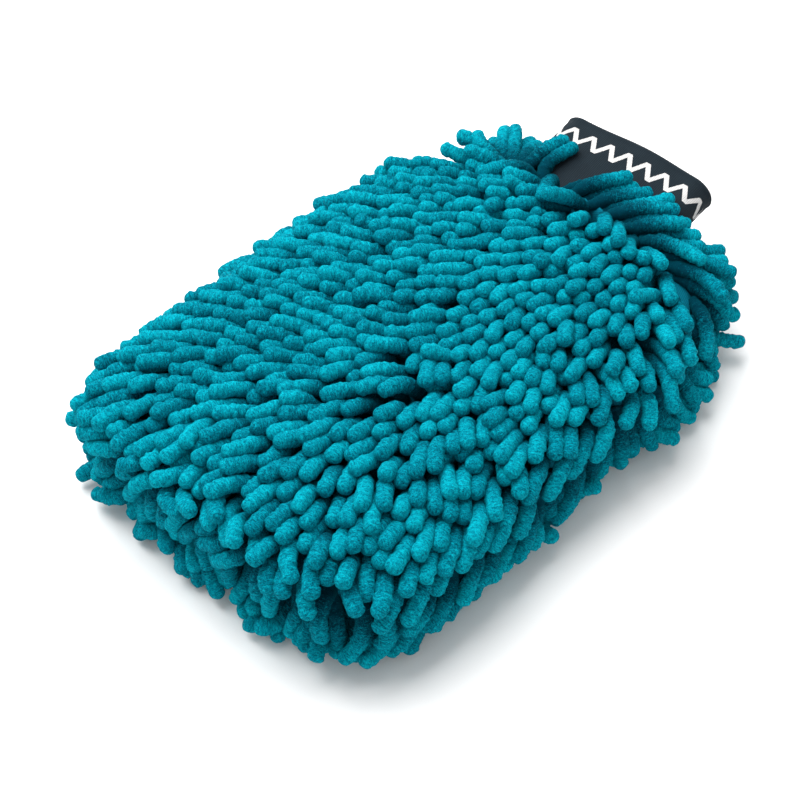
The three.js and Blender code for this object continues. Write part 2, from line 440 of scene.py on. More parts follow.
def keep_outside(panel, chains):
    """Keeps particles from the third on out of the body, and all but the roots over the floor."""
    outer = chains[:, 2:]
    gauge = panel.gauge(outer)
    slope = panel.gradient(outer)
    steepness = np.linalg.norm(slope, axis=-1)
    depth = BODY_CLEARANCE - (gauge - 1) / steepness
    outer += slope / steepness[..., None] * np.maximum(depth, 0)[..., None]
    chains[:, 1:, 2] = np.maximum(chains[:, 1:, 2], FLOOR_Z + FINGER_RADIUS)


def press_into(pile, particles, press):
    """Combs particles that stand out of the pile's outline back towards it."""
    slope = pile.gradient(particles)
    steepness = np.linalg.norm(slope, axis=-1)
    excess = np.maximum((pile.gauge(particles) - 1) / steepness + FINGER_RADIUS, 0)
    particles -= slope / steepness[..., None] * (excess * press[:, None])[..., None]


# ---- finger meshes

BODY_RINGS = 44
TIP_RINGS = 5
SIDES = 14
RING_WRINKLE = 0.06 * MM
SURFACE_FUZZ = 0.22 * MM
ROOT_THINNING = 0.25  # how much slimmer a finger is at its root
ROOT_TAPER = 9 * MM
ROOT_CAP = 0.3 * MM
NOISE_SPAN = 400  # millimetres of noise, from which each finger takes its own part


def finger_profile(length):
    """Ring stations along a finger and their radii, for a finger with a round tip."""
    body = np.linspace(0, length - FINGER_RADIUS, BODY_RINGS)
    turn = np.linspace(0, math.pi / 2, TIP_RINGS + 2)[1:-1]
    stations = np.concatenate([body, length - FINGER_RADIUS + FINGER_RADIUS * np.sin(turn)])
    radii = np.full(len(stations), FINGER_RADIUS)
    radii[BODY_RINGS:] = FINGER_RADIUS * np.cos(turn)
    radii *= 1 - ROOT_THINNING * (1 - smooth_step(stations, 0, ROOT_TAPER))
    return stations, radii


def along_chain(chain, stations, spacing):
    """Points of a smooth curve through a chain, at distances from its root."""
    padded = np.concatenate([2 * chain[:1] - chain[1:2], chain, 2 * chain[-1:] - chain[-2:-1]])
    position = np.clip(stations / spacing, 0, len(chain) - 1 - 1e-6)
    index = position.astype(int)
    t = (position - index)[:, None]
    p0, p1, p2, p3 = (padded[index + step] for step in range(4))
    return 0.5 * (
        2 * p1
        + (p2 - p0) * t
        + (2 * p0 - 5 * p1 + 4 * p2 - p3) * t ** 2
        + (3 * p1 - p0 - 3 * p2 + p3) * t ** 3
    )


def carried_frames(centres):
    """Two directions across a curve at each of its points, carried along it without twisting."""
    tangents = unit(np.gradient(centres, axis=0))
    across = unit(np.cross(tangents[0], [0.31, 0.17, 0.93]))
    sides = []
    for tangent in tangents:
        across = unit(across - tangent * (across @ tangent))
        sides.append(across)
    sides = np.array(sides)
    return tangents, sides, np.cross(tangents, sides)


def circles_along(centres, sides):
    """Unit directions round a curve at each of its points, with its tangents."""
    tangents, across, over = carried_frames(centres)
    angle = np.linspace(0, 2 * math.pi, sides, endpoint=False)
    around = across[:, None] * np.cos(angle)[:, None] + over[:, None] * np.sin(angle)[:, None]
    return around, tangents, angle


def smooth_noise(shape):
    """Random numbers per ring and side, softened over their neighbours."""
    noise = RNG.normal(size=shape)
    noise = noise + 0.5 * (np.roll(noise, 1, axis=1) + np.roll(noise, -1, axis=1))
    noise[1:-1] += 0.4 * (noise[:-2] + noise[2:])
    return noise / 1.35


def finger_mesh(chain, length):
    """Vertices and straightened coordinates, in millimetres, of one finger."""
    stations, radii = finger_profile(length)
    centres = along_chain(chain, stations, length / (PARTICLES - 1))
    around, tangents, angle = circles_along(centres, SIDES)
    rings = len(stations)
    relief = smooth_noise((rings, SIDES)) * SURFACE_FUZZ + RNG.normal(size=(rings, 1)) * RING_WRINKLE
    radius = radii[:, None] + relief * (radii / FINGER_RADIUS)[:, None]
    vertices = centres[:, None] + around * radius[..., None]
    tip = centres[-1] + tangents[-1] * (length - stations[-1])
    root = centres[0] - tangents[0] * ROOT_CAP
    circle = np.stack([np.cos(angle), np.sin(angle)], axis=-1) * FINGER_RADIUS / MM
    straight = np.empty((rings, SIDES, 3))
    straight[..., :2] = circle
    straight[..., 2] = (stations / MM)[:, None]
    vertices = np.concatenate([vertices.reshape(-1, 3), [root, tip]])
    ends = [[0, 0, 0], [0, 0, length / MM]]
    return vertices, np.concatenate([straight.reshape(-1, 3), ends])


def finger_faces():
    """Quads along a finger and triangles at its two ends, for the vertices of finger_mesh."""
    rings = BODY_RINGS + TIP_RINGS
    ring, side = np.meshgrid(np.arange(rings - 1), np.arange(SIDES), indexing="ij")
    here, beside = ring * SIDES + side, ring * SIDES + (side + 1) % SIDES
    quads = np.stack([here, beside, beside + SIDES, here + SIDES], axis=-1).reshape(-1, 4)
    root, tip = rings * SIDES, rings * SIDES + 1
    last = (rings - 1) * SIDES
    side = np.arange(SIDES)
    after = (side + 1) % SIDES
    root_fan = np.stack([after, side, np.full(SIDES, root)], axis=-1)
    tip_fan = np.stack([last + side, last + after, np.full(SIDES, tip)], axis=-1)
    return quads, np.concatenate([root_fan, tip_fan])


def mesh_piece(name, vertices, faces, material):
    """A smooth-shaded mesh object in the scene."""
    mesh = bpy.data.meshes.new(name)
    mesh.from_pydata(np.asarray(vertices).tolist(), [], faces)
    mesh.shade_smooth()
    mesh.materials.append(material)
    piece = bpy.data.objects.new(name, mesh)
    bpy.context.scene.collection.objects.link(piece)
    return piece


def add_attribute(piece, name, kind, values):
    attribute = piece.data.attributes.new(name, kind, "POINT")
    field = "vector" if kind == "FLOAT_VECTOR" else "value"
    attribute.data.foreach_set(field, np.asarray(values, dtype=np.float32).ravel())


def finger_row(name, chains, lengths, material):
    """All fingers of one row as one piece, with the attributes that the chenille material reads."""
    quads, fans = finger_faces()
    vertices, straight, tints, faces = [], [], [], []
    for index, (chain, length) in enumerate(zip(chains, lengths)):
        points, unrolled = finger_mesh(chain, length)
        start = index * len(points)
        vertices.append(points)
        straight.append(unrolled + RNG.uniform(0, NOISE_SPAN, 3) * [1, 1, 0])
        tints.append(np.full(len(points), RNG.uniform(-1, 1)))
        faces += (quads + start).tolist() + (fans + start).tolist()
    piece = mesh_piece(name, np.concatenate(vertices), faces, material)
    add_attribute(piece, "straightened", "FLOAT_VECTOR", np.concatenate(straight))
    add_attribute(piece, "tint", "FLOAT", np.concatenate(tints))
    return piece


# ---- the neck, where the panels are gathered into the cuff

FRINGE_LINES = ((0.55, 10.5 * MM), (0.90, 11.5 * MM))  # share of the way from panel to cuff, and spacing
SHOULDER_LINE = (0.24, 7.5 * MM)  # only beside the cuff, where the panels' end is wider than it
SHOULDER_START = 34 * MM
COLLAR_HALF_WIDTH = 46 * MM
COLLAR_PRESS = 0.02  # collar fingers lie loose on top of the pile
COLLAR_LINES = ((0.10, 9.0 * MM), (0.30, 9.5 * MM))  # as FRINGE_LINES
NECK_BULGE = 6.0 * MM


def cuff_to_mitt(points):
    """From the cuff's own axes, along it from the neck line, to the mitt's."""
    x, y, z = np.moveaxis(np.asarray(points, dtype=float), -1, 0)
    cosine, sine = math.cos(CUFF_LIFT), math.sin(CUFF_LIFT)
    return np.stack([x, y * cosine - z * sine, y * sine + z * cosine], axis=-1) + CUFF_PIVOT


def mitt_to_cuff(points):
    x, y, z = np.moveaxis(points - CUFF_PIVOT, -1, 0)
    cosine, sine = math.cos(CUFF_LIFT), math.sin(CUFF_LIFT)
    return np.stack([x, y * cosine + z * sine, z * cosine - y * sine], axis=-1)


def cuff_arc(side, grow=0.0, count=ARC_POINTS):
    """The cuff's section from its right edge to its left, over or under, in the cuff's own axes."""
    radius = CUFF_HALF_HEIGHT + grow
    reach = CUFF_STRAIGHT + radius * math.pi / 2
    along = np.linspace(-reach, reach, count)
    turn = np.clip((np.abs(along) - CUFF_STRAIGHT) / radius, 0, math.pi / 2)
    x = np.sign(along) * (np.minimum(np.abs(along), CUFF_STRAIGHT) + radius * np.sin(turn))
    return np.stack([-x, np.zeros(count), side * radius * np.cos(turn)], axis=-1)


def neck_arc(panel, side, share):
    """A line round the neck, from the panel's end at share 0 to the cuff's root at share 1."""
    start = spread_along(panel.arc(NECK_END_Y, side), 0.5 * MM, 0.5)
    start = resample(start, ARC_POINTS)
    end = resample(cuff_to_mitt(cuff_arc(side, grow=0.3 * MM) + [0, 2 * MM, 0]), ARC_POINTS)
    line = start + (end - start) * share
    across = np.sin(np.linspace(0, math.pi, ARC_POINTS))
    line[:, 2] += side * NECK_BULGE * math.sin(math.pi * share) * across
    return line


def fringe_roots(panel, side):
    """Roots of the fingers that lie over the cuff, and of those beside it on the panels' end."""
    lines = []
    for share, spacing in FRINGE_LINES:
        lines.append(spread_along(neck_arc(panel, side, share), spacing, 0.5))
    share, spacing = SHOULDER_LINE
    shoulder = spread_along(neck_arc(panel, side, share), spacing, 0.5)
    lines.append(shoulder[np.abs(shoulder[:, 0]) > SHOULDER_START])
    return np.concatenate(lines)


def collar_roots(panel, side):
    """Roots of the body's last fingers, just below the cuff."""
    lines = [spread_along(neck_arc(panel, side, share), spacing, 0.5) for share, spacing in COLLAR_LINES]
    roots = np.concatenate(lines)
    return roots[np.abs(roots[:, 0]) < COLLAR_HALF_WIDTH]


def collar_lean(roots, side):
    """Collar fingers fall back over the body, away from its middle line."""
    count = len(roots)
    outward = roots[:, 0] / (45 * MM)
    across = 0.3 * outward - 0.7 + 1.2 * smooth_step(roots[:, 0], -16 * MM, 12 * MM)
    back = np.stack([across, np.full(count, -1.0), side * 0.8 - 0.4 * np.abs(outward)], axis=-1)
    return unit(back + RNG.normal(size=(count, 3)) * 0.28)


def fringe_lean(roots, side):
    """Neck fingers lie over the cuff, slanting to its right; those at the left edge stand up."""
    count = len(roots)
    outward = roots[:, 0] / (40 * MM)
    stray = RNG.normal(size=(count, 3)) * 0.30
    if side < 0:
        return unit(np.stack([outward, np.ones(count), np.full(count, -0.4)], axis=-1) + stray)
    x = roots[:, 0]
    left = smooth_step(-x, 16 * MM, 32 * MM) * (1 - smooth_step(-x, 40 * MM, 50 * MM))
    sideways = 0.60 * (1 - smooth_step(-x, 15 * MM, 50 * MM)) + outward * 0.7
    upward = 0.10 - 0.30 * np.abs(outward) + 0.7 * left
    slant = np.stack([sideways, 0.75 - 0.5 * left, upward], axis=-1)
    return unit(slant + stray * (1 + 1.5 * left)[:, None])


def keep_off_cuff(chains):
    """Keeps particles that are over or under the cuff out of it."""
    local = mitt_to_cuff(chains)
    away = local * [1, 0, 1]
    away[..., 0] -= np.clip(local[..., 0], -CUFF_STRAIGHT, CUFF_STRAIGHT)
    distance = np.linalg.norm(away, axis=-1)
    depth = CUFF_HALF_HEIGHT + CUFF_CLEARANCE - distance
    depth = np.where(local[..., 1] > 0, np.maximum(depth, 0), 0)
    local += away / np.maximum(distance, 1e-6)[..., None] * depth[..., None]
    chains[:] = cuff_to_mitt(local)


# ---- materials


class Paint:
    """A node material under construction, with short ways to add and join nodes."""

    def __init__(self, name):
        self.material = bpy.data.materials.new(name)
        self.material.use_nodes = True
        self.tree = self.material.node_tree
        self.shader = self.tree.nodes["Principled BSDF"]

    def node(self, kind, inputs=(), **settings):
        made = self.tree.nodes.new(kind)
        for key, value in settings.items():
            setattr(made, key, value)
        for key, value in dict(inputs).items():
            self.feed(made.inputs[key], value)
        return made

    def feed(self, socket, value):
        if isinstance(value, bpy.types.NodeSocket):
            self.tree.links.new(value, socket)
        else:
            socket.default_value = value

    def set(self, **values):
        """Sets the shader's own sockets; an underscore stands for a space."""
        for key, value in values.items():
            self.feed(self.shader.inputs[key.replace("_", " ")], value)

    def attribute(self, name, output="Vector"):
        return self.node("ShaderNodeAttribute", attribute_name=name).outputs[output]

    def scaled(self, vector, scale):
        return self.node("ShaderNodeVectorMath", {0: vector, 1: scale}, operation="MULTIPLY").outputs[0]

    def noise(self, vector, scale, detail=2.0, roughness=0.5):
        inputs = {"Vector": vector, "Scale": scale, "Detail": detail, "Roughness": roughness}
        return self.node("ShaderNodeTexNoise", inputs).outputs["Fac"]

    def math(self, operation, a, b=0.0, clamp=False):
        return self.node("ShaderNodeMath", {0: a, 1: b}, operation=operation, use_clamp=clamp).outputs[0]

    def weighted(self, a, share_a, b, share_b):
        """The sum of two values, each with its own share."""
        total = self.math("MULTIPLY_ADD", a, share_a)
        self.feed(total.node.inputs[2], self.math("MULTIPLY", b, share_b))
        return total

    def weave(self, cloth, parts, pitches, wear_scale, wear_share):
        """Height of cloth with stitches so many millimetres apart across and along, a little worn."""
        across, along = (
            self.math("ABSOLUTE", self.math("SINE", self.math("MULTIPLY", part, math.pi / pitch)))
            for part, pitch in zip(parts, pitches)
        )
        wear = self.noise(cloth, wear_scale, detail=4.0, roughness=0.6)
        return self.weighted(wear, wear_share, self.math("MULTIPLY", across, along), 0.7)

    def ramp(self, factor, stops):
        made = self.node("ShaderNodeValToRGB", {"Fac": factor})
        elements = made.color_ramp.elements
        while len(elements) < len(stops):
            elements.new(0.5)
        for element, (position, color) in zip(elements, stops):
            element.position = position
            element.color = (*color, 1)
        return made.outputs["Color"]

    def bump(self, height, distance, strength):
        inputs = {"Height": height, "Distance": distance, "Strength": strength}
        return self.node("ShaderNodeBump", inputs).outputs["Normal"]


def chenille_material():
    """Microfibre pile: cross ridges and fine fuzz along each finger, each finger a little different. Its
    colour holds painted shade: darker towards each finger's root, and darker in the low places of the
    ridges and fuzz, with painted highlight on their high places.
    """
    paint = Paint("chenille")
    straight = paint.attribute("straightened")
    ridges = paint.noise(paint.scaled(straight, (0.6, 0.6, 1.6)), 1.0, detail=2.0, roughness=0.6)
    fuzz = paint.noise(paint.scaled(straight, (2.2, 2.2, 2.6)), 1.0, detail=3.0, roughness=0.75)
    mixed = paint.weighted(ridges, 0.42, fuzz, 0.58)
    along = paint.node("ShaderNodeSeparateXYZ", {0: straight}).outputs[2]
    # painted shade between the fingers: the colour darkens towards each finger's root, darkest within 3 mm
    # of it and fading out by 24 mm along it
    painted_root_shade = paint.node("ShaderNodeMapRange", {0: along, 1: 3.0, 2: 24.0, 3: -0.27, 4: 0.0}).outputs[0]
    tint = paint.math("MULTIPLY", paint.attribute("tint", "Fac"), 0.035)
    shade = paint.math("ADD", paint.math("ADD", mixed, tint), painted_root_shade)
    # the colour follows the same ridges and fuzz as the bump: partly random mottling of the fibres, partly
    # painted shade in their low places and painted highlight on their high places
    color = paint.ramp(shade, [
        (0.34, (0.0001, 0.036, 0.060)),
        (0.49, (0.0003, 0.200, 0.280)),
        (0.62, (0.0020, 0.490, 0.600)),
    ])
    paint.set(Base_Color=color, Roughness=0.95, Sheen_Weight=0.12, Sheen_Roughness=0.5)
    paint.set(Sheen_Tint=(0.0, 0.75, 0.9, 1), Specular_IOR_Level=0.03)
    paint.set(Normal=paint.bump(mixed, 1.2 * MM, 0.9))
    return paint.material


def knit_material(name, light, dark, wale, course):
    """A knit: columns of stitches wale millimetres wide, in rows course millimetres high."""
    paint = Paint(name)
    cloth = paint.attribute("cloth")
    parts = paint.node("ShaderNodeSeparateXYZ", {0: cloth}).outputs
    height = paint.weave(cloth, parts, (wale, course), 0.12, 0.4)
    # the colour follows the cloth's height: painted shade in the hollows between stitches, and lighter and
    # darker worn patches
    color = paint.ramp(height, [(0.15, dark), (0.85, light)])
    paint.set(Base_Color=color, Roughness=0.9, Specular_IOR_Level=0.08)
    paint.set(Normal=paint.bump(height, 0.25 * MM, 0.8))
    return paint.material


def wadding_material():
    paint = Paint("wadding")
    cloth = paint.attribute("cloth")
    fibres = paint.noise(cloth, 0.8, detail=6.0, roughness=0.7)
    color = paint.ramp(fibres, [(0.3, (0.55, 0.53, 0.47)), (0.7, (0.84, 0.82, 0.76))])
    paint.set(Base_Color=color, Roughness=1.0, Sheen_Weight=0.3)
    paint.set(Normal=paint.bump(fibres, 0.8 * MM, 0.8))
    return paint.material


def thread_material():
    paint = Paint("thread")
    place = paint.node("ShaderNodeTexCoord").outputs["Object"]
    twist = paint.noise(paint.scaled(place, (1000, 1000, 1000)), 1.6, detail=3.0)
    color = paint.ramp(twist, [(0.3, (0.002, 0.07, 0.10)), (0.7, (0.006, 0.17, 0.22))])
    paint.set(Base_Color=color, Roughness=0.6, Specular_IOR_Level=0.35)
    paint.set(Normal=paint.bump(twist, 0.15 * MM, 0.6))
    return paint.material


MOTIF_MIDDLE = 34.5  # millimetres along the cuff
MOTIF_HEIGHT = 4.2  # half the height of its zigzag
MOTIF_PERIOD = 11.0
MOTIF_HALF_STROKE = 2.21  # measured along the cuff, through the slanting line
RIB_PITCH = 0.95
PICK_PITCH = 0.7


def elastic_material():
    """Ribbed elastic, near black, with a plain white zigzag woven round its outside."""
    paint = Paint("elastic")
    cloth = paint.attribute("cloth")
    parts = paint.node("ShaderNodeSeparateXYZ", {0: cloth}).outputs
    around, along = parts[0], parts[1]
    height = paint.weave(cloth, parts, (RIB_PITCH, PICK_PITCH), 0.15, 0.35)
    # the navy and the white follow the cloth's height: painted shade in the hollows between ribs and
    # picks, and lighter and darker worn patches
    navy = paint.ramp(height, [(0.1, (0.003, 0.007, 0.011)), (0.9, (0.012, 0.023, 0.032))])
    white = paint.ramp(height, [(0.1, (0.38, 0.37, 0.36)), (0.9, (0.82, 0.80, 0.79))])
    across = paint.math("SUBTRACT", along, MOTIF_MIDDLE)
    swing = paint.math("PINGPONG", around, MOTIF_PERIOD / 2)
    centred = paint.math("SUBTRACT", swing, MOTIF_PERIOD / 4)
    zigzag = paint.math("MULTIPLY", centred, MOTIF_HEIGHT / (MOTIF_PERIOD / 4))
    fray = paint.math("MULTIPLY", paint.math("SUBTRACT", paint.noise(cloth, 1.3), 0.5), 0.5)
    distance = paint.math("ABSOLUTE", paint.math("SUBTRACT", across, zigzag))
    line = paint.math("LESS_THAN", paint.math("ADD", distance, fray), MOTIF_HALF_STROKE)
    inside = paint.math("LESS_THAN", paint.math("ABSOLUTE", across), MOTIF_HEIGHT + 0.2)
    outside = paint.math("LESS_THAN", parts[2], 0.5)
    motif = paint.math("MULTIPLY", paint.math("MULTIPLY", line, inside), outside)
    mix = paint.node("ShaderNodeMix", data_type="RGBA")
    paint.feed(mix.inputs["Factor"], motif)
    paint.feed(mix.inputs[6], navy)
    paint.feed(mix.inputs[7], white)
    paint.set(Base_Color=mix.outputs[2], Roughness=0.85, Sheen_Weight=0.04, Specular_IOR_Level=0.15)
    paint.set(Normal=paint.bump(height, 0.3 * MM, 0.8))
    return paint.material


# ---- sewn cloth

BACKING_THICKNESS = 1.2 * MM
PADDING_INSET = 2.2 * MM
PADDING_THICKNESS = 4.4 * MM
LINING_INSET = 7.3 * MM
LINING_THICKNESS = 0.8 * MM
PANEL_ROWS = 44  # along a panel, from the closed end to its open end
PANEL_COLUMNS = 72
NECK_ROWS = 8
GATHERS = 13  # folds across one panel, where the cuff pulls it in
GATHER_DEPTH = 1.5 * MM
BACKING_ON_CUFF = 0.5 * MM  # how far outside the cuff's section each layer meets it
LINING_ON_CUFF = -2.9 * MM
PANEL_REACH = 4 * MM  # how far past the neck line the panels run
CLOTH_WAVE = 0.35 * MM  # height of the slow waves in the cloth
WADDING_COLUMNS = 48
WADDING_LUMP = 0.3 * MM
WADDING_SHIFT = 0.5 * MM  # away from the seam


def panel_grid(pillow, side, columns=PANEL_COLUMNS):
    """Points of one half of a pillow, row by row from its closed end to the neck."""
    last = (NECK_END_Y - WIDEST_Y) / pillow.neck
    last_turn = math.asin(last ** (1 / pillow.neck_roundness))
    turns = np.linspace(-math.pi / 2, last_turn, PANEL_ROWS)
    rows = []
    for turn in turns:
        reach = pillow.closed if turn < 0 else pillow.neck
        roundness = pillow.closed_roundness if turn < 0 else pillow.neck_roundness
        y = WIDEST_Y + reach * float(signed_power(math.sin(turn), roundness))
        rows.append(resample(pillow.arc(y, side), columns))
    return np.array(rows)


def neck_rows(grid, side, grow, reach):
    """Rows that carry a panel's open end on to the cuff, gathered on the way."""
    columns = grid.shape[1]
    end = resample(cuff_to_mitt(cuff_arc(side, grow) + [0, reach, 0]), columns)
    across = np.linspace(0, 1, columns)
    fold = np.sin(across * GATHERS * 2 * math.pi) * np.sin(across * math.pi)
    rows = []
    for share in np.linspace(0, 1, NECK_ROWS + 1)[1:]:
        row = grid[-1] + (end - grid[-1]) * share
        bulge = NECK_BULGE * math.sin(math.pi * share) * np.sin(math.pi * across) * (grow > 0)
        row[:, 2] += side * (bulge + fold * GATHER_DEPTH * math.sin(math.pi * share))
        rows.append(row)
    return np.concatenate([grid, rows])


def grid_normals(grid, outward):
    """Unit normals of a grid of points, turned the way of outward."""
    normals = np.cross(np.gradient(grid, axis=0), np.gradient(grid, axis=1))
    weak = np.linalg.norm(normals, axis=-1, keepdims=True) < 1e-14
    normals = np.where(weak, [0.0, -1.0, 0.0], normals)
    normals = unit(normals)
    facing = np.sign((normals * outward).sum())
    return np.where(weak, normals, normals * facing)


def thick_sheet(name, grid, normals, thickness, material, closed_round=False):
    """A sheet of cloth with two faces and closed edges. closed_round joins its first and last column."""
    rows, columns = grid.shape[:2]
    count = rows * columns
    inner = grid - normals * thickness
    vertices = np.concatenate([grid.reshape(-1, 3), inner.reshape(-1, 3)])
    middle = grid[rows // 2]
    lengthwise = grid[rows // 2 + 1, 1] - middle[1]
    flip = np.cross(lengthwise, middle[2] - middle[1]) @ normals[rows // 2, 1] < 0
    faces = []

    def add(a, b, c, d):
        faces.append((d, c, b, a) if flip else (a, b, c, d))

    spans = columns if closed_round else columns - 1
    for row in range(rows - 1):
        for column in range(spans):
            a = row * columns + column
            b = row * columns + (column + 1) % columns
            add(a, a + columns, b + columns, b)
            add(count + a, count + b, count + b + columns, count + a + columns)
    for column in range(spans):
        a, b = column, (column + 1) % columns
        add(a, b, count + b, count + a)
        a, b = a + count - columns, b + count - columns
        add(b, a, count + a, count + b)
    if not closed_round:
        for row in range(rows - 1):
            a = row * columns
            add(a + columns, a, count + a, count + a + columns)
            a += columns - 1
            add(a, a + columns, count + a + columns, count + a)
    piece = mesh_piece(name, vertices, faces, material)
    cloth = np.zeros((rows, columns, 3))
    cloth[..., 0] = np.linspace(0, path_length(middle), columns) / MM
    cloth[..., 1] = distances_along(grid[:, columns // 2])[:, None] / MM
    cloth = cloth.reshape(-1, 3)
    add_attribute(piece, "cloth", "FLOAT_VECTOR", np.concatenate([cloth, cloth + [0, 0, 1]]))
    weld(piece)
    return piece


def weld(piece):
    """Joins vertices that lie on each other, such as those at a panel's closed end."""
    mesh = bmesh.new()
    mesh.from_mesh(piece.data)
    bmesh.ops.remove_doubles(mesh, verts=mesh.verts, dist=0.001 * MM)
    bmesh.ops.dissolve_degenerate(mesh, dist=0.001 * MM, edges=mesh.edges)
    mesh.to_mesh(piece.data)
    mesh.free()


def add_panel(name, side, inset, thickness, grow, material):
    """One half of a layer, from the closed end over the padded body and down the neck to the cuff."""
    grid = panel_grid(panel_pillow(inset), side)
    grid = neck_rows(grid, side, grow, PANEL_REACH)
    grid[:, :, 2] += side * CLOTH_WAVE
    rise = np.sin(grid[..., 0] / (9 * MM) + 2) * np.sin(grid[..., 1] / (13 * MM)) * CLOTH_WAVE
    grid[:, 1:-1, 2] += rise[:, 1:-1]
    piece = thick_sheet(name, grid, grid_normals(grid, [0, 0, side]), thickness, material)
    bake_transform(piece)
    return piece


def make_panels():
    knit = knit_material("knitted_backing", (0.001, 0.20, 0.29), (0.0005, 0.11, 0.17), 1.1, 0.9)
    woven = knit_material("lining", (0.020, 0.024, 0.028), (0.008, 0.010, 0.012), 0.7, 0.7)
    wadding = wadding_material()
    for name, side in (("top", 1), ("bottom", -1)):
        backing = add_panel(
            f"{name}_backing", side, 0.0, BACKING_THICKNESS, BACKING_ON_CUFF, knit)
        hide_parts(f"{name}_backing_panel")
        lining = add_panel(
            f"{name}_lining", side, LINING_INSET, LINING_THICKNESS, LINING_ON_CUFF, woven)
        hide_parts(f"{name}_pocket_lining")
        add_wadding(name, side, wadding)


def add_wadding(name, side, material):
    """The soft layer between backing and lining, a little uneven."""
    grid = panel_grid(panel_pillow(PADDING_INSET), side, columns=WADDING_COLUMNS)
    lumps = np.sin(grid[..., 0] / (11 * MM) + 1) * np.sin(grid[..., 1] / (9 * MM)) * WADDING_LUMP
    grid[:, 1:-1, 2] -= side * (WADDING_LUMP + lumps[:, 1:-1])
    grid[:, :, 2] += side * WADDING_SHIFT
    normals = grid_normals(grid, [0, 0, side])
    piece = thick_sheet(f"{name}_wadding", grid, normals, PADDING_THICKNESS, material)
    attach(piece, "mitt_body")
    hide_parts(f"{name}_padding")


# ---- seams

THREAD_RADIUS = 0.35 * MM
CORE_SHARE = 0.42  # radius of a seam's cord of cloth, as a share of the seam's width
SEAM_WIDTH = {"perimeter": 1.8 * MM, "neck": 1.6 * MM, "cuff": 1.3 * MM}
STITCH = {"perimeter": 2.2 * MM, "neck": 2.4 * MM, "cuff": 2.0 * MM}


def tube(path, radius, sides):
    """Vertices and faces of a tube along a path."""
    path = np.asarray(path)
    around, _, _ = circles_along(path, sides)
    vertices = (path[:, None] + around * radius).reshape(-1, 3)
    faces = []
    for ring in range(len(path) - 1):
        for side in range(sides):
            a, b = ring * sides + side, ring * sides + (side + 1) % sides
            faces.append((a, b, b + sides, a + sides))
    faces.append(tuple(reversed(range(sides))))
    faces.append(tuple(range((len(path) - 1) * sides, len(path) * sides)))
    return vertices, faces


def joined(parts):
    """Several (vertices, faces) as one."""
    vertices, faces, start = [], [], 0
    for points, polygons in parts:
        vertices.append(points)
        faces += [tuple(index + start for index in polygon) for polygon in polygons]
        start += len(points)
    return np.concatenate(vertices), faces


def overlock(edge, inward, width, stitch, material, name, body, node):
    """A sewn edge: a soft cord of cloth along it, wrapped in slanting loops of thread."""
    edge = resample(edge, max(int(path_length(edge) / stitch), 8) * 4)
    inward = unit(inward(edge))
    core_radius = width * CORE_SHARE
    core = tube(edge + inward * width / 2, core_radius, sides=8)
    tangents = unit(np.gradient(edge, axis=0))
    up = unit(np.cross(tangents, inward))
    phase = np.arange(len(edge)) * math.pi / 2
    loop_radius = core_radius + THREAD_RADIUS * 0.8
    loops = edge + inward * (width / 2 + np.cos(phase)[:, None] * loop_radius)
    loops = loops + up * np.sin(phase)[:, None] * loop_radius
    loops = resample(loops, len(loops) * 2)
    thread = tube(loops, THREAD_RADIUS, sides=5)
    piece = mesh_piece(name, *joined([core, thread]), material)
    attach(piece, body)
    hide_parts(node)


def make_seams():
    material = thread_material()
    panel = panel_pillow(0.2 * MM)
    right = [panel.arc(y, 1)[0] for y in np.linspace(NECK_END_Y - MM, PANEL_CLOSED_Y + 2 * MM, 90)]
    left = [point * [-1, 1, 1] for point in reversed(right)]
    end = [panel.end_point(x, SEAM_Z) for x in np.linspace(right[-1][0], left[0][0], 30)[1:-1]]
    outline = np.array(right + end + left)
    middle = np.array([0, WIDEST_Y, SEAM_Z])
    overlock(outline, lambda edge: middle - edge, SEAM_WIDTH["perimeter"], STITCH["perimeter"],
             material, "perimeter_overlock", "mitt_body", "perimeter_seam")
    for side, name in ((1, "upper"), (-1, "lower")):
        line = cuff_to_mitt(cuff_arc(side, grow=1.5 * MM)[12:-12] + [0, 3.2 * MM, 0])
        overlock(line, lambda edge: CUFF_PIVOT + [0, 3 * MM, 0] - edge, SEAM_WIDTH["neck"], STITCH["neck"],
                 material, f"neck_stitches_{name}", f"cuff_{name}", f"neck_overlock_{name}")
    for side, name in ((-1, "left"), (1, "right")):
        low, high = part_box(f"cuff_side_seam_{name}")
        outer = max(abs(low[0]), abs(high[0])) - 0.4 * MM
        along = np.linspace(4 * MM, CUFF_RIM - 2 * MM, 30)
        line = cuff_to_mitt(np.stack([np.full(30, side * outer), along, np.zeros(30)], axis=-1))
        overlock(line, lambda edge: np.broadcast_to([-side, 0.0, 0.0], edge.shape), SEAM_WIDTH["cuff"],
                 STITCH["cuff"], material, f"cuff_seam_stitches_{name}", "cuff_lower",
                 f"cuff_side_seam_{name}")


# ---- elastic cuff

CUFF_WALL = 1.9 * MM
CUFF_ROWS = 44
CUFF_COLUMNS = 220
CUFF_START = 2.2 * MM  # from the neck line to the sewn end
CUFF_RIB = 0.05 * MM
CUFF_SINK = 0.3 * MM  # how far inside its CAD section the elastic lies
RIM_ROLL = 0.5 * MM
RIM_WAVE = 1.1 * MM


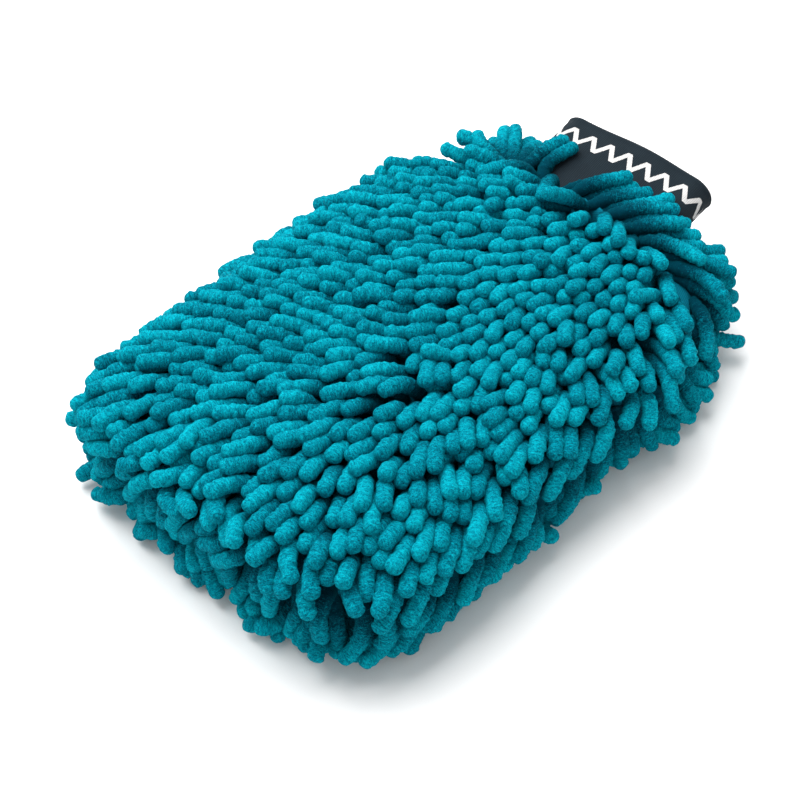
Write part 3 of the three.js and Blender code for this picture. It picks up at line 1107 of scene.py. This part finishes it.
def make_cuff():
    """The knitted elastic: one loop, a little wavy at its rim."""
    over, under = (cuff_arc(side, grow=-0.1 * MM, count=CUFF_COLUMNS // 2 + 1) for side in (1, -1))
    loop = np.concatenate([over[:-1], under[::-1][:-1]])
    start, end = CUFF_START, CUFF_RIM - 0.3 * MM
    rows, outward = [], []
    away = unit(loop * [1, 0, 1] - np.clip(loop[:, :1], -CUFF_STRAIGHT, CUFF_STRAIGHT) * [1, 0, 0])
    ribs = np.cos(np.arange(CUFF_COLUMNS) * math.pi) * CUFF_RIB
    wave = np.sin(loop[:, 0] / (11 * MM) + 0.9) * np.cos(loop[:, 0] / (60 * MM))
    for share in np.linspace(0, 1, CUFF_ROWS):
        rim = smooth_step(share, 0.55, 1.0)
        row = loop + away * (ribs - CUFF_SINK)[:, None]
        row[:, 1] = start + (end - start) * share + rim * 0.5 * MM * np.sin(loop[:, 0] / (17 * MM) + 2)
        row[:, 2] += rim * wave * RIM_WAVE
        roll = smooth_step(share, 0.93, 0.99) * (1 - smooth_step(share, 0.985, 1.0) * 1.4)
        row += away * (RIM_ROLL * roll)
        rows.append(cuff_to_mitt(row))
        outward.append(cuff_to_mitt(away) - CUFF_PIVOT)
    grid, normals = np.array(rows), np.array(outward)
    piece = thick_sheet("elastic_cuff", grid, normals, CUFF_WALL, elastic_material(), closed_round=True)
    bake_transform(piece)
    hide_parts("cuff_elastic_upper", "cuff_elastic_lower")


# ---- camera, floor and light

CAMERA_AZIMUTH = math.radians(42.5)
CAMERA_ELEVATION = math.radians(47)
CAMERA_DISTANCE = 0.680
CAMERA_TARGET = Vector((0.0075, -0.0345, 0.0270))
CAMERA_LENS = 68.7
KEY_LIGHT = ("key", (-0.45, 0.05, 1.0), 1.1, 24)  # name, place, size and watts
FILL_LIGHT = ("fill", (0.9, -0.9, 0.7), 1.0, 1.5)
WORLD_STRENGTH = 0.60
FLOOR_GREY = 0.92
FLOOR_HALF_SIZE = 3.0


def add_camera():
    data = bpy.data.cameras.new("camera")
    data.lens = CAMERA_LENS
    camera = bpy.data.objects.new("camera", data)
    back = Vector((
        math.sin(CAMERA_AZIMUTH) * math.cos(CAMERA_ELEVATION),
        -math.cos(CAMERA_AZIMUTH) * math.cos(CAMERA_ELEVATION),
        math.sin(CAMERA_ELEVATION),
    ))
    camera.location = CAMERA_TARGET + back * CAMERA_DISTANCE
    camera.rotation_mode = "QUATERNION"
    camera.rotation_quaternion = (-back).to_track_quat("-Z", "Y")
    bpy.context.scene.collection.objects.link(camera)
    bpy.context.scene.camera = camera


def add_area_light(name, place, size, power):
    data = bpy.data.lights.new(name, "AREA")
    data.size = size
    data.energy = power
    light = bpy.data.objects.new(name, data)
    light.location = place
    light.rotation_mode = "QUATERNION"
    light.rotation_quaternion = (CAMERA_TARGET - Vector(place)).to_track_quat("-Z", "Y")
    bpy.context.scene.collection.objects.link(light)


def add_lights():
    add_area_light(*KEY_LIGHT)
    add_area_light(*FILL_LIGHT)
    world = bpy.data.worlds.new("studio")
    world.use_nodes = True
    background = world.node_tree.nodes["Background"]
    background.inputs["Color"].default_value = (1, 1, 1, 1)
    background.inputs["Strength"].default_value = WORLD_STRENGTH
    bpy.context.scene.world = world


def add_floor():
    paint = Paint("floor")
    paint.set(Base_Color=(FLOOR_GREY, FLOOR_GREY, FLOOR_GREY, 1), Roughness=0.9)
    half = FLOOR_HALF_SIZE
    corners = [(-half, -half, 0), (half, -half, 0), (half, half, 0), (-half, half, 0)]
    floor = mesh_piece("floor", corners, [(0, 1, 2, 3)], paint.material)


# ---- the mitt


def body_groups(panel):
    """Name, body, roots, leans and press of the fingers of each row on the padded body."""
    groups = []
    stations = row_stations()
    for side, name in ((1, "top"), (-1, "bottom")):
        for index, station in enumerate(stations):
            roots = row_roots(panel, index, side, station)
            roots = roots + RNG.normal(size=roots.shape) * ROOT_JITTER * [1, 1, 0]
            roots = onto_surface(panel, roots)
            leans = body_lean(panel, roots, side)
            press = body_press(roots)
            if index == ROWS_PER_SIDE - 1:
                collar = collar_roots(panel, side)
                roots = np.concatenate([roots, collar])
                leans = np.concatenate([leans, collar_lean(collar, side)])
                press = np.concatenate([press, np.full(len(collar), COLLAR_PRESS)])
            groups.append((f"{name}_chenille_row_{index + 1:02d}", "mitt_body", roots, leans, press))
    return groups


def neck_groups(panel):
    """The same for the fingers that lie over and under the cuff."""
    groups = []
    for side, name in ((1, "upper"), (-1, "lower")):
        roots = fringe_roots(panel, side)
        press = np.full(len(roots), PILE_PRESS)
        groups.append((f"neck_fringe_{name}", f"cuff_{name}", roots, fringe_lean(roots, side), press))
    return groups


def make_fingers():
    """Grows and settles all fingers together, and makes one piece of each group."""
    panel = panel_pillow()
    groups = body_groups(panel) + neck_groups(panel)
    roots, leans, press = (np.concatenate([group[part] for group in groups]) for part in (2, 3, 4))
    lengths = FINGER_LENGTH + np.clip(RNG.normal(size=len(roots)), -2, 2) * LENGTH_SPREAD
    chains = settle(panel, pile_pillow(), roots, leans, lengths, press)
    material = chenille_material()
    start = 0
    for name, body, group_roots, _, _ in groups:
        end = start + len(group_roots)
        piece_name = name.replace("chenille", "finger").replace("fringe", "fringe_fingers")
        piece = finger_row(piece_name, chains[start:end], lengths[start:end], material)
        if body == "cuff_lower":
            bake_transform(piece)
        else:
            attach(piece, body)
        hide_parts(name)
        start = end


def onto_surface(panel, points):
    """Moves points that are near the pillow's surface onto it."""
    for _ in range(3):
        slope = panel.gradient(points)
        excess = (panel.gauge(points) - 1) / (slope ** 2).sum(axis=-1)
        points = points - slope * excess[:, None]
    return points


bpy.context.scene.view_settings.view_transform = "Standard"
add_camera()
add_lights()
add_floor()
make_fingers()
make_panels()
make_seams()
make_cuff()
